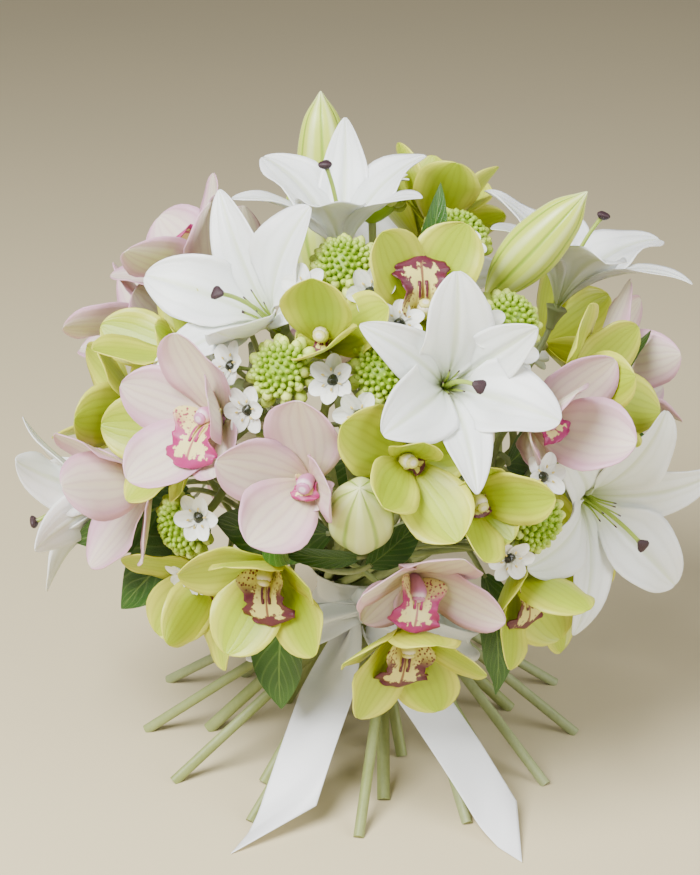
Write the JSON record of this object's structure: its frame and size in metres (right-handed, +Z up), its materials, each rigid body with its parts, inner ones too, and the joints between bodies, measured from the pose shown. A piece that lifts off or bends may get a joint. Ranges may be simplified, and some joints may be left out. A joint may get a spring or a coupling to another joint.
{
  "type": "mixed flower bouquet",
  "caption": "Hand-tied spiral bouquet of lilies, boat orchids, star flowers and dark leaves, bound with twine and a satin ribbon, standing on its splayed stems.",
  "frame": {"origin": "middle of the bounding box's bottom face, on the surface that the bouquet stands on", "axes": "+Z up, -Y towards the front with the ribbon tails, +X to the right seen from the front"},
  "size_m": [0.4728, 0.4288, 0.4532],
  "materials": {
    "green_petal": "soft satin petal, yellow-green",
    "pink_petal": "soft satin petal, pale mauve pink",
    "white_petal": "soft satin petal, white",
    "pistil": "waxy green with a dark tip",
    "stem": "dull waxy green",
    "star_flower": "green buds with white open flowers",
    "leaf": "glossy dark green",
    "ribbon": "white satin",
    "twine": "rough natural twine"
  },
  "bodies": {
    "root": {"twine_tie": "twine", "ribbon_band": "ribbon", "ribbon_bow": "ribbon", "ribbon_tail_left": "ribbon", "ribbon_tail_right": "ribbon", "lily_stem_1": "stem", "lily_stem_2": "stem", "lily_stem_3": "stem", "lily_stem_4": "stem", "lily_stem_5": "stem", "lily_bloom_1": "white_petal", "lily_bloom_2": "white_petal", "lily_bloom_3": "white_petal", "lily_bloom_4": "white_petal", "lily_bloom_5": "white_petal", "lily_bloom_6": "white_petal", "lily_bloom_7": "white_petal", "lily_bloom_8": "white_petal", "lily_pistil_1": "pistil", "lily_pistil_2": "pistil", "lily_pistil_3": "pistil", "lily_pistil_4": "pistil", "lily_pistil_5": "pistil", "lily_pistil_6": "pistil", "lily_pistil_7": "pistil", "lily_pistil_8": "pistil", "pink_cymbidium_stem_1": "stem", "pink_cymbidium_stem_2": "stem", "pink_cymbidium_stem_3": "stem", "pink_cymbidium_stem_4": "stem", "pink_cymbidium_bloom_1": "pink_petal", "pink_cymbidium_bloom_2": "pink_petal", "pink_cymbidium_bloom_3": "pink_petal", "pink_cymbidium_bloom_4": "pink_petal", "pink_cymbidium_bloom_5": "pink_petal", "pink_cymbidium_bloom_6": "pink_petal", "pink_cymbidium_bloom_7": "pink_petal", "pink_cymbidium_bloom_8": "pink_petal", "pink_cymbidium_bloom_9": "pink_petal", "pink_cymbidium_bloom_10": "pink_petal", "pink_cymbidium_bloom_11": "pink_petal", "pink_cymbidium_bloom_12": "pink_petal", "green_cymbidium_spray_1": "green_petal", "green_cymbidium_spray_2": "green_petal", "green_cymbidium_spray_3": "green_petal", "green_cymbidium_spray_4": "green_petal", "green_cymbidium_spray_5": "green_petal", "green_cymbidium_spray_6": "green_petal", "star_flower_head_1": "star_flower", "star_flower_head_2": "star_flower", "star_flower_head_3": "star_flower", "star_flower_head_4": "star_flower", "star_flower_head_5": "star_flower", "star_flower_head_6": "star_flower", "star_flower_head_7": "star_flower", "star_flower_head_8": "star_flower", "star_flower_head_9": "star_flower", "leafy_stem_1": "leaf", "leafy_stem_2": "leaf", "leafy_stem_3": "leaf"}
  },
  "joints": []
}
